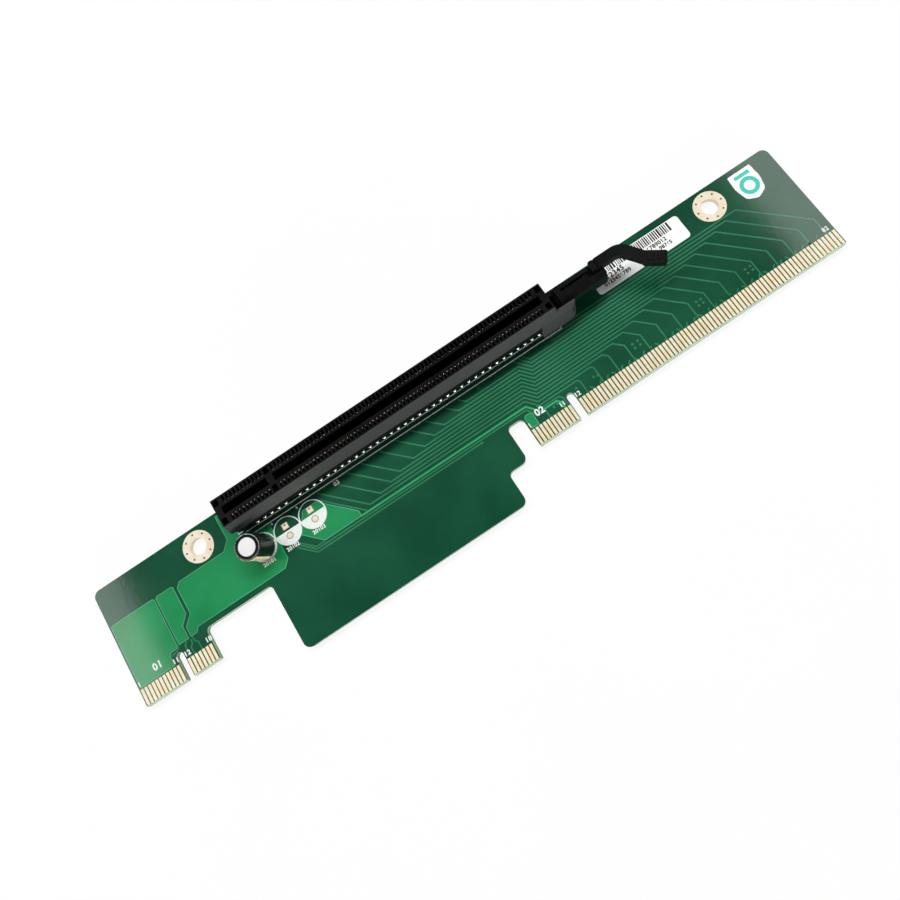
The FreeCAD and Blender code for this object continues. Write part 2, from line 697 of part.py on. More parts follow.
def nodes():
    """Return every node's name and its shape in the working frame."""
    return {
        "circuit_board": circuit_board(),
        "x16_fingers_front": edge_fingers(X16_PIN_ONE, X16_PINS, False),
        "x16_fingers_back": edge_fingers(X16_PIN_ONE, X16_PINS, True),
        "x1_fingers_front": edge_fingers(EDGE_MARGIN, X1_PINS, False),
        "x1_fingers_back": edge_fingers(EDGE_MARGIN, X1_PINS, True),
        "mounting_hole_left": plated_hole(HOLE_LEFT, HOLE_Y, HOLE_DIAMETER, RING_DIAMETER),
        "mounting_hole_right": plated_hole(HOLE_RIGHT, HOLE_Y, HOLE_DIAMETER, RING_DIAMETER),
        "socket_housing": socket_housing(),
        "contacts_front_inner": contact_row(-1, False),
        "contacts_front_outer": contact_row(-1, True),
        "contacts_rear_inner": contact_row(1, False),
        "contacts_rear_outer": contact_row(1, True),
        "retention_latch": retention_latch(),
        "capacitor_can": capacitor_can(),
        "capacitor_sleeve": capacitor_sleeve(),
        "capacitor_bung": capacitor_bung(),
        "capacitor_leads": capacitor_leads(),
        "socket_joints": socket_joints(),
        "empty_pads_square": empty_pads(0),
        "empty_pads_round": empty_pads(1),
        "barcode_label": barcode_label(),
        "shield_label": shield_label(),
    }


def main():
    """Build every node and write it to its STEP file."""
    os.makedirs("parts", exist_ok=True)
    for name, shape in nodes().items():
        seat(shape).exportStep(os.path.join("parts", name + ".step"))


if __name__ == "__main__":
    main()
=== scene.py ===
"""Looks of the riser card: circuit artwork, socket, latch, capacitor, labels and studio.

Names that end in _mm or _MM, and every list of places, are in millimetres on the board: x from its left
end, y from the contact edge of the tongues and z from its component face.  Board.at() turns such a place
into metres in the frame of the solids.
"""
import logging
import math
import random
from dataclasses import dataclass
from enum import Enum

import bmesh
import bpy
from mathutils import Euler, Matrix, Vector

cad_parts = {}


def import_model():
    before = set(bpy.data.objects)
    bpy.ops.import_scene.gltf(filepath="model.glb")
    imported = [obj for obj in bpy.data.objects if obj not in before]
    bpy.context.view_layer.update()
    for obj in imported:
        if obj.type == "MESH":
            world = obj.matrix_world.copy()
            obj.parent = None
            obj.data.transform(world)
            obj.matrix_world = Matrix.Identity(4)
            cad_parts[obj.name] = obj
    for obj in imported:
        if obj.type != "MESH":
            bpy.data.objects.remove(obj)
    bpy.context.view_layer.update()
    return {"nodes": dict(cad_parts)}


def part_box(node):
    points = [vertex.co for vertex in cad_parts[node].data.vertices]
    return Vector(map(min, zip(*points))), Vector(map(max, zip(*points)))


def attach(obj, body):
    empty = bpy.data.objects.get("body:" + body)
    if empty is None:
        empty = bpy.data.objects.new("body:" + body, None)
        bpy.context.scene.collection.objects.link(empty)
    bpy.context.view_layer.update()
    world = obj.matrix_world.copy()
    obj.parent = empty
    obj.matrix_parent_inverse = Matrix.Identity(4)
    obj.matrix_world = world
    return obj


LOG = logging.getLogger("riser_card")
MM = 0.001
CARD = "card"
RAMP_SPAN = (0.35, 0.65)        # noise values of a finish's two colours

FIRST_PIN_MM = 42.15            # first contact of the socket
PINS = 82
KEY_PINS = 11                   # contacts left of the key
KEY_GAP_MM = 2.0                # pitch added where the key stands
FINGER_TOP_MM = 4.4             # upper end of the gold fingers
CAPACITOR_MM = (41.3, 16.75)    # middle of the capacitor's foot

Place = tuple[float, float]
Corner = tuple[float, float, float]
Material = bpy.types.Material
Tree = bpy.types.NodeTree
Socket = bpy.types.NodeSocket


class Slot(Enum):
    """Material slots of the record, by name."""

    MASK = "solder_mask"
    TIN = "tinned_copper"
    SOLDER = "solder"
    CONTACT = "contact_alloy"
    FILM = "sleeve_film"
    PAPER = "label_paper"


# -------------------- colours and nodes

def linear(code: str) -> tuple[float, float, float, float]:
    """Turn an sRGB hex colour into a linear colour.

    Args:
        code: Six hex digits, such as "1E4E36".

    Returns:
        Linear red, green, blue and an alpha of 1.
    """
    channels = [int(code[index:index + 2], 16) / 255 for index in (0, 2, 4)]
    mapped = [c / 12.92 if c <= 0.04045 else ((c + 0.055) / 1.055) ** 2.4 for c in channels]
    return (*mapped, 1.0)


def add_node(tree: Tree, kind: str, settings: dict | None = None,
             links: dict | None = None, stops: tuple[str, ...] = ()) -> bpy.types.Node:
    """Add one node with its settings and links.

    Args:
        tree: Node tree that takes the node.
        kind: Blender's type name of the node.
        settings: Values by the name or number of an input, or by the name of an attribute.
        links: Output sockets by the name or number of the input that they feed.
        stops: Hex colours of a colour ramp, at the values of RAMP_SPAN.

    Returns:
        The new node.
    """
    node = tree.nodes.new(kind)
    for key, value in (settings or {}).items():
        if isinstance(key, str) and hasattr(node, key) and key not in node.inputs:
            setattr(node, key, value)
        else:
            node.inputs[key].default_value = value
    for key, source in (links or {}).items():
        tree.links.new(source, node.inputs[key])
    for index, code in enumerate(stops):
        node.color_ramp.elements[index].position = RAMP_SPAN[index]
        node.color_ramp.elements[index].color = linear(code)
    return node


# -------------------- finishes

class Layer(Enum):
    """Noise layers of a finish."""

    CLOUD = "cloud"
    GRAIN = "grain"


@dataclass(frozen=True)
class Finish:
    """One kind of matter: two close colours in soft clouds over a relief of its own grain."""

    name: str
    dark: str
    light: str
    roughness: float
    cloud_mm: float                     # size of the colour clouds
    relief_mm: float                    # depth of the relief; 0 for none
    grain_mm: float = 0.0               # size of the relief's grains; 0 where the clouds carry it
    cloud_detail: float = 3.0
    grain_detail: float = 1.0
    metallic: float = 0.0
    ior: float = 1.5
    specular: float = 0.5
    gloss_layer: Layer | None = None    # layer that the roughness follows, if any
    smoother: float = 0.0               # reach of the roughness below its middle
    rougher: float = 0.0                # and above it

    def build(self) -> Material:
        """Build the material.

        Returns:
            The finished material.
        """
        material = bpy.data.materials.new(self.name)
        material.use_nodes = True
        tree = material.node_tree
        tree.nodes.clear()
        places = add_node(tree, "ShaderNodeTexCoord").outputs["Object"]
        sizes = {Layer.CLOUD: (self.cloud_mm, self.cloud_detail)}
        if self.grain_mm:
            sizes[Layer.GRAIN] = (self.grain_mm, self.grain_detail)
        layers = {}
        for layer, (size_mm, detail) in sizes.items():
            settings = {"Scale": 1 / (size_mm * MM), "Detail": detail}
            layers[layer] = add_node(tree, "ShaderNodeTexNoise", settings, {"Vector": places}).outputs["Fac"]
        ramp = add_node(tree, "ShaderNodeValToRGB", links={"Fac": layers[Layer.CLOUD]},
                        stops=(self.dark, self.light))
        links = {"Base Color": self.colour(tree, places, ramp.outputs["Color"])}
        if self.gloss_layer:
            reach = {"To Min": self.roughness - self.smoother, "To Max": self.roughness + self.rougher}
            gloss = add_node(tree, "ShaderNodeMapRange", reach, {"Value": layers[self.gloss_layer]})
            links["Roughness"] = gloss.outputs["Result"]
        if self.relief_mm:
            height = layers.get(Layer.GRAIN, layers[Layer.CLOUD])
            bump = add_node(tree, "ShaderNodeBump", {"Distance": self.relief_mm * MM}, {"Height": height})
            links["Normal"] = bump.outputs["Normal"]
        shader = add_node(tree, "ShaderNodeBsdfPrincipled",
                          {"Metallic": self.metallic, "Roughness": self.roughness, "IOR": self.ior,
                           "Specular IOR Level": self.specular}, links)
        surface = self.surface(tree, shader.outputs["BSDF"])
        add_node(tree, "ShaderNodeOutputMaterial", links={"Surface": surface})
        return material

    def colour(self, _tree: Tree, _places: Socket,
               colour: Socket) -> Socket:
        """Return the colour that the shader takes; a finish with a second colour changes it."""
        return colour

    def surface(self, _tree: Tree, surface: Socket) -> Socket:
        """Return the surface that the material shows; a finish with a second shader changes it."""
        return surface


@dataclass(frozen=True)
class SolderMask(Finish):
    """Green epoxy solder mask, curtain-coated and baked: glossy, with a faint wave over the weave."""

    roughness: float = 0.09
    cloud_mm: float = 14.0
    relief_mm: float = 0.004
    grain_mm: float = 1.1       # the real weave is 0.5 mm; drawn coarser so that it shows


@dataclass(frozen=True)
class MaskedLaminate(SolderMask):
    """Glass-epoxy board: green mask on both faces, routed edges that show the pale glass weave."""

    name: str = "masked_laminate"
    dark: str = "0F4630"
    light: str = "165239"
    cloud_mm: float = 16.0
    edge_dark: str = "4E7C50"
    edge_light: str = "7E9C6C"
    ply_mm: float = 0.22        # one ply of glass cloth; its bands are drawn 2 pi times coarser, to show
    wave_rate: float = 20.0     # radians that the wave texture turns in one unit of its scale
    level: float = 0.9          # least upright part of the normal of a masked face

    def colour(self, tree: Tree, places: Socket,
               colour: Socket) -> Socket:
        """Join the mask on the faces with bare laminate on the edges.

        Args:
            tree: Tree of the material.
            places: Object coordinates.
            colour: Colour of the mask.

        Returns:
            The joined colour.
        """
        plies = add_node(tree, "ShaderNodeTexWave",
                         {"bands_direction": "Z", "Scale": 1 / (self.ply_mm * MM * self.wave_rate),
                          "Distortion": 1.5, "Detail": 2.0}, {"Vector": places})
        edge = add_node(tree, "ShaderNodeValToRGB", links={"Fac": plies.outputs["Fac"]},
                        stops=(self.edge_dark, self.edge_light))
        normal = add_node(tree, "ShaderNodeNewGeometry").outputs["Normal"]
        upright = add_node(tree, "ShaderNodeSeparateXYZ", links={"Vector": normal}).outputs["Z"]
        flat = add_node(tree, "ShaderNodeMath", {"operation": "ABSOLUTE"}, {0: upright}).outputs["Value"]
        face = add_node(tree, "ShaderNodeMath", {"operation": "GREATER_THAN", 1: self.level}, {0: flat})
        return add_node(tree, "ShaderNodeMix", {"data_type": "RGBA"},
                        {"Factor": face.outputs["Value"], "A": edge.outputs["Color"],
                         "B": colour}).outputs["Result"]


@dataclass(frozen=True)
class GoldPlate(Finish):
    """Hard gold over nickel, electroplated on matte copper: bright, pale, with fine wiping scratches."""

    name: str = "hard_gold_plate"
    dark: str = "FBE6BC"
    light: str = "FFF4DA"
    roughness: float = 0.42
    cloud_mm: float = 1.6
    relief_mm: float = 0.002
    grain_mm: float = 0.12
    metallic: float = 0.3       # matte plating over etched copper scatters most of the light
    gloss_layer: Layer | None = Layer.GRAIN
    smoother: float = 0.06
    rougher: float = 0.08


@dataclass(frozen=True)
class SolderCoat(Finish):
    """Tin solder, flowed and cooled: satin grey-white with soft dimples."""

    name: str = "flowed_solder"
    dark: str = "C4C4BE"
    light: str = "F0F0EA"
    roughness: float = 0.34
    cloud_mm: float = 0.35
    relief_mm: float = 0.01
    metallic: float = 1.0


@dataclass(frozen=True)
class MouldedPlastic(Finish):
    """Black glass-filled nylon, injection moulded: satin, with spark-eroded grain and pale fibre flow."""

    dark: str = "070708"
    light: str = "0D0D0E"
    roughness: float = 0.42
    cloud_mm: float = 5.0
    relief_mm: float = 0.006
    grain_mm: float = 0.16      # drawn at twice the real grain so that it shows
    cloud_detail: float = 4.0
    grain_detail: float = 2.0
    ior: float = 1.53
    specular: float = 0.3
    gloss_layer: Layer | None = Layer.CLOUD
    smoother: float = 0.08
    rougher: float = 0.1


@dataclass(frozen=True)
class SheenFlankPlastic(MouldedPlastic):
    """The same nylon with painted sheen on its side walls: their grey, outside the smooth black top, stands
    in for the light that they catch.
    """

    # painted sheen: lighter grey for the lit look of the side walls
    sheen_grey: str = "424242"
    centre_mm: float = 15.175   # y of the moulding's middle in the frame of the solids
    half_mm: float = 3.46       # half width of its smooth top

    def colour(self, tree: Tree, places: Socket,
               colour: Socket) -> Socket:
        """Join the colour of the smooth top with the painted sheen grey of the side walls.

        Args:
            tree: Tree of the material.
            places: Object coordinates.
            colour: Colour of the smooth top.

        Returns:
            The joined colour.
        """
        across = add_node(tree, "ShaderNodeSeparateXYZ", links={"Vector": places}).outputs["Y"]
        aside = add_node(tree, "ShaderNodeMath", {"operation": "SUBTRACT", 1: self.centre_mm * MM},
                         {0: across}).outputs["Value"]
        away = add_node(tree, "ShaderNodeMath", {"operation": "ABSOLUTE"}, {0: aside}).outputs["Value"]
        outside = add_node(tree, "ShaderNodeMath", {"operation": "GREATER_THAN", 1: self.half_mm * MM},
                           {0: away}).outputs["Value"]
        return add_node(tree, "ShaderNodeMix", {"data_type": "RGBA", "B": linear(self.sheen_grey)},
                        {"Factor": outside, "A": colour}).outputs["Result"]


@dataclass(frozen=True)
class ContactAlloy(Finish):
    """Phosphor bronze, stamped, dulled by nickel and shaded by the cell round it."""

    name: str = "stamped_bronze"
    dark: str = "8A8074"
    light: str = "C4B8A4"
    roughness: float = 0.5
    cloud_mm: float = 0.6
    relief_mm: float = 0.004
    metallic: float = 1.0


@dataclass(frozen=True)
class PressedAluminium(Finish):
    """Deep-drawn aluminium can: bright, with the fine satin that the drawing tool leaves."""

    name: str = "drawn_aluminium"
    dark: str = "FAFAFA"
    light: str = "FFFFFF"
    roughness: float = 0.4
    cloud_mm: float = 0.25
    relief_mm: float = 0.003
    cloud_detail: float = 2.0
    metallic: float = 0.5       # the satin scatters half of the light


@dataclass(frozen=True)
class ShrunkFilm(Finish):
    """Heat-shrunk PET film: thin, glossy, pulled into faint waves."""

    roughness: float = 0.25
    cloud_mm: float = 1.4
    relief_mm: float = 0.02
    ior: float = 1.57
    specular: float = 0.2


@dataclass(frozen=True)
class PrintedInk(Finish):
    """Screen-printed epoxy ink: matte, slightly thin where the mesh laid it down."""

    roughness: float = 0.6
    cloud_mm: float = 0.3
    relief_mm: float = 0.004
    cloud_detail: float = 2.0


@dataclass(frozen=True)
class LabelPaper(Finish):
    """Coated label paper: white, with a faint fibre cloud under a satin coat."""

    name: str = "coated_label_paper"
    dark: str = "F1F3F1"
    light: str = "FBFCFB"
    roughness: float = 0.45
    cloud_mm: float = 0.8
    relief_mm: float = 0.006
    ior: float = 1.48


@dataclass(frozen=True)
class BungRubber(Finish):
    """Moulded butyl rubber: matte black with a dusty bloom."""

    name: str = "butyl_rubber"
    dark: str = "121212"
    light: str = "1E1E1E"
    roughness: float = 0.85
    cloud_mm: float = 0.5
    relief_mm: float = 0.01
    ior: float = 1.52


@dataclass(frozen=True)
class PaleFloor(Finish):
    """Matt painted floor: seen as nearly plain white, so that only the card's shadow shows."""

    name: str = "pale_floor"
    dark: str = "F3F3F3"
    light: str = "F8F8F8"
    roughness: float = 0.9
    cloud_mm: float = 60.0
    relief_mm: float = 0.0
    white: float = 0.9          # share of plain white that the camera and its reflections see

    def surface(self, tree: Tree, surface: Socket) -> Socket:
        """Mix plain white into what the camera, glossy and transmitted rays see.

        Args:
            tree: Tree of the material.
            surface: The painted floor.

        Returns:
            The mixed surface.
        """
        rays = add_node(tree, "ShaderNodeLightPath").outputs
        bounced = add_node(tree, "ShaderNodeMath", {"operation": "MAXIMUM"},
                           {0: rays["Is Glossy Ray"], 1: rays["Is Transmission Ray"]}).outputs["Value"]
        shown = add_node(tree, "ShaderNodeMath", {"operation": "MAXIMUM"},
                         {0: rays["Is Camera Ray"], 1: bounced}).outputs["Value"]
        share = add_node(tree, "ShaderNodeMath", {"operation": "MULTIPLY", 1: self.white},
                         {0: shown}).outputs["Value"]
        glow = add_node(tree, "ShaderNodeEmission", {"Color": (1, 1, 1, 1), "Strength": 1.0})
        return add_node(tree, "ShaderNodeMixShader",
                        links={0: share, 1: surface, 2: glow.outputs["Emission"]}).outputs["Shader"]


# -------------------- places on the board

@dataclass(frozen=True)
class Board:
    """Places on the board, taken from the solids."""

    left: float
    edge: float
    face: float
    top_mm: float = 30.5

    @classmethod
    def from_frame(cls) -> "Board":
        """Return the board's places as its own solid gives them."""
        low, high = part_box("circuit_board")
        return cls(low[0], high[1] - cls.top_mm * MM, high[2])

    def at(self, x: float, y: float, z: float = 0.0) -> Vector:
        """Return a place above the component face, in metres."""
        return Vector((self.left + x * MM, self.edge + y * MM, self.face + z * MM))


def pin_x(pin: int) -> float:
    """Return x of a contact of the socket, in millimetres."""
    return FIRST_PIN_MM + pin - 1 + (KEY_GAP_MM if pin > KEY_PINS else 0.0)


# -------------------- mesh builders

def rounded(corners: list[Corner], steps: int = 6) -> list[Place]:
    """Round the corners of a closed outline.

    Args:
        corners: x, y and radius of each corner, in millimetres.
        steps: Segments of each round corner.

    Returns:
        The points of the outline.
    """
    points = []
    for index, (x, y, radius) in enumerate(corners):
        here = Vector((x, y))
        back = (Vector(corners[index - 1][:2]) - here).normalized()
        ahead = (Vector(corners[(index + 1) % len(corners)][:2]) - here).normalized()
        if radius <= 0:
            points.append((x, y))
            continue
        half = back.angle(ahead) / 2
        centre = here + (back + ahead).normalized() * (radius / math.sin(half))
        start = here + back * (radius / math.tan(half)) - centre
        turn = start.angle_signed(here + ahead * (radius / math.tan(half)) - centre)
        for step in range(steps + 1):
            arm = start.copy()
            arm.rotate(Matrix.Rotation(-turn * step / steps, 2))
            points.append(tuple(centre + arm))
    return points


def ring_points(x: float, y: float, radius: float, count: int) -> list[Place]:
    """Return points round a circle, in millimetres."""
    angles = [2 * math.pi * index / count for index in range(count)]
    return [(x + radius * math.cos(a), y + radius * math.sin(a)) for a in angles]


def close_mesh(mesh: bmesh.types.BMesh, name: str) -> bpy.types.Mesh:
    """Turn a mesh under way into mesh data, with its faces outwards.

    Args:
        mesh: Mesh under way, which is freed.
        name: Name of the data.

    Returns:
        The mesh data.
    """
    bmesh.ops.recalc_face_normals(mesh, faces=mesh.faces)
    data = bpy.data.meshes.new(name)
    mesh.to_mesh(data)
    mesh.free()
    return data


def seat_piece(name: str, data: bpy.types.Mesh, material: Material,
               smooth: bool = False) -> None:
    """Link a mesh to the scene, dress it and make it ride on the card.

    Args:
        name: Name of the piece.
        data: Its mesh, in metres in the frame of the solids.
        material: Its finish.
        smooth: True for smooth shading.
    """
    data.materials.append(material)
    for face in data.polygons:
        face.use_smooth = smooth
    piece = bpy.data.objects.new(name, data)
    bpy.context.scene.collection.objects.link(piece)
    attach(piece, CARD)
    LOG.info("piece %s: %d faces on %s", name, len(data.polygons), CARD)


class Sheet:
    """A mesh under way, made of thin plates, strips and domes on the component face."""

    MITRE_LIMIT = 0.3           # least cosine of a bend that a strip's mitre follows

    def __init__(self, board: Board) -> None:
        """Start an empty mesh on the board."""
        self.place = board.at
        self.mesh = bmesh.new()

    def plate(self, outline: list[Place], low: float, high: float, slope: float = 0.0) -> None:
        """Add a flat plate, with sloped sides if asked.

        Args:
            outline: Points of the plate's foot.
            low: Height of its foot.
            high: Height of its top.
            slope: Width of the sloped side.
        """
        foot = [self.mesh.verts.new(self.place(x, y, low)) for x, y in outline]
        top_face = self.mesh.faces.new(foot)
        self.mesh.normal_update()
        sides = bmesh.ops.extrude_face_region(self.mesh, geom=[top_face])
        top = [item for item in sides["geom"] if isinstance(item, bmesh.types.BMVert)]
        lift = self.place(0, 0, high) - self.place(0, 0, low)
        bmesh.ops.translate(self.mesh, verts=top, vec=lift)
        if slope > 0:
            lid = [item for item in sides["geom"] if isinstance(item, bmesh.types.BMFace)]
            bmesh.ops.inset_region(self.mesh, faces=lid, thickness=slope * MM, use_even_offset=True)

    def block(self, x_span: Place, y_span: Place, low: float, high: float) -> None:
        """Add a plate with four square corners over a span of x and a span of y."""
        (left, right), (front, rear) = x_span, y_span
        self.plate([(left, front), (right, front), (right, rear), (left, rear)], low, high)

    def strip(self, route: list[Place], width: float, high: float) -> None:
        """Add a flat strip with mitred bends along a route.

        Args:
            route: Points of the strip's centre line.
            width: Width of the strip.
            high: Height of its top.
        """
        points = [Vector(point) for point in route]
        left, right = [], []
        for index, here in enumerate(points):
            before = (here - points[index - 1]).normalized() if index else None
            after = (points[index + 1] - here).normalized() if index < len(points) - 1 else None
            run = ((before or after) + (after or before)).normalized()
            reach = width / 2 / max(run.dot(after or before), self.MITRE_LIMIT)
            across = Vector((-run.y, run.x)) * reach
            left.append(tuple(here + across))
            right.append(tuple(here - across))
        self.ladder(left, right, high)

    def ladder(self, left: list[Place], right: list[Place], high: float) -> None:
        """Add a raised strip between two lines of points, as quads with side walls.

        Args:
            left: Points of the left side.
            right: Points of the right side, as many.
            high: Height of its top.
        """
        rows = []
        for (lx, ly), (rx, ry) in zip(left, right):
            rows.append([self.mesh.verts.new(self.place(x, y, z)) for x, y, z in
                         ((lx, ly, 0.0), (lx, ly, high), (rx, ry, high), (rx, ry, 0.0))])
        for one, two in zip(rows, rows[1:]):
            for index in range(3):
                self.mesh.faces.new((one[index], one[index + 1], two[index + 1], two[index]))
        self.mesh.faces.new(rows[0])
        self.mesh.faces.new(rows[-1][::-1])

    def hoop(self, x: float, y: float, radii: Place, high: float, count: int = 64) -> None:
        """Add a flat ring.

        Args:
            x: Centre.
            y: Centre.
            radii: Inner and outer radius.
            high: Height of its top.
            count: Segments.
        """
        angles = [math.radians(360.0 * i / count) for i in range(count + 1)]
        inner, outer = ([(x + r * math.cos(a), y + r * math.sin(a)) for a in angles] for r in radii)
        self.ladder(outer, inner, high)

    def dome(self, x: float, y: float, radius: float, high: float, sides: int = 12, rings: int = 3) -> None:
        """Add a low dome, such as a bead of solder.

        Args:
            x: Centre.
            y: Centre.
            radius: Radius of its foot.
            high: Height of its crown.
            sides: Segments round it.
            rings: Rings of faces up to the crown.
        """
        last = None
        for ring in range(rings):
            tilt = ring / rings * math.pi / 2
            points = ring_points(x, y, radius * math.cos(tilt), sides)
            row = [self.mesh.verts.new(self.place(px, py, high * math.sin(tilt))) for px, py in points]
            if last:
                for index in range(sides):
                    after = (index + 1) % sides
                    self.mesh.faces.new((last[index], last[after], row[after], row[index]))
            last = row
        crown = self.mesh.verts.new(self.place(x, y, high))
        for index in range(sides):
            self.mesh.faces.new((last[index], last[(index + 1) % sides], crown))

    def finish(self, name: str, material: Material, smooth: bool = False) -> None:
        """Turn the mesh into a piece of the card."""
        seat_piece(name, close_mesh(self.mesh, name), material, smooth)


def dress(node: bpy.types.Object, material: Material) -> None:
    """Give a solid of the frame a finish."""
    node.data.materials.clear()
    node.data.materials.append(material)


# -------------------- circuit artwork

@dataclass
class CopperPours:
    """Wide copper areas under the mask, which show as raised, brighter green fields."""

    board: Board
    rise_mm: float = 0.035
    slope_mm: float = 0.14
    round_mm: float = 0.6
    rim_mm: float = 0.16
    rim_rise_mm: float = 0.004      # rims stand this much over the pours

    def outlines(self) -> dict[str, list[Corner]]:
        """List the corners of the pours.

        Returns:
            The corners of each pour by its name.
        """
        r = self.round_mm
        return {
            "pour_left": [(0.5, 4.75, 0), (10.0, 4.75, 0), (10.0, 7.2, 0), (10.6, 7.8, 0), (12.1, 7.8, 0),
                          (12.6, 8.3, 0), (12.6, 21.1, r), (0.5, 21.1, r)],
            "pour_middle": [(13.1, 8.3, 0), (15.8, 8.3, 0), (15.8, 11.5, 0), (17.9, 13.65, 0),
                            (17.9, 21.1, r), (13.1, 21.1, r)],
            "pour_feed": [(19.0, 9.45, 0), (43.5, 9.45, 0), (45.2, 11.2, 0), (45.2, 21.0, 0), (38.0, 21.0, 0),
                          (38.0, 29.6, 0), (34.7, 29.6, 0), (34.7, 23.2, 0), (32.6, 21.1, 0),
                          (19.9, 21.1, 0), (18.8, 20.0, 0), (18.8, 13.1, 0), (16.5, 10.8, 0),
                          (16.5, 8.4, 0), (18.3, 8.4, 0)],
            "pour_corner": [(50.7, 13.95, 0), (54.8, 9.8, 0), (65.0, 9.8, 0), (65.0, 11.2, 0),
                            (57.4, 18.8, 0), (53.6, 18.8, 0)],
            "pour_key": [(109.1, 4.7, 0), (111.2, 4.7, 0), (111.2, 8.0, r), (109.1, 8.0, r)],
        }

    def build(self, mask: Material, rim: Material) -> None:
        """Add one piece for each pour and the bright rims where the mask runs down its edge.

        Args:
            mask: Mask over the pours.
            rim: Mask on their edges.
        """
        rims = Sheet(self.board)
        for name, corners in self.outlines().items():
            outline = rounded(corners)
            sheet = Sheet(self.board)
            sheet.plate(outline, 0.0, self.rise_mm, self.slope_mm)
            sheet.finish(name, mask)
            rims.strip(outline + outline[:1], self.rim_mm, self.rise_mm + self.rim_rise_mm)
        rims.finish("pour_rims", rim)


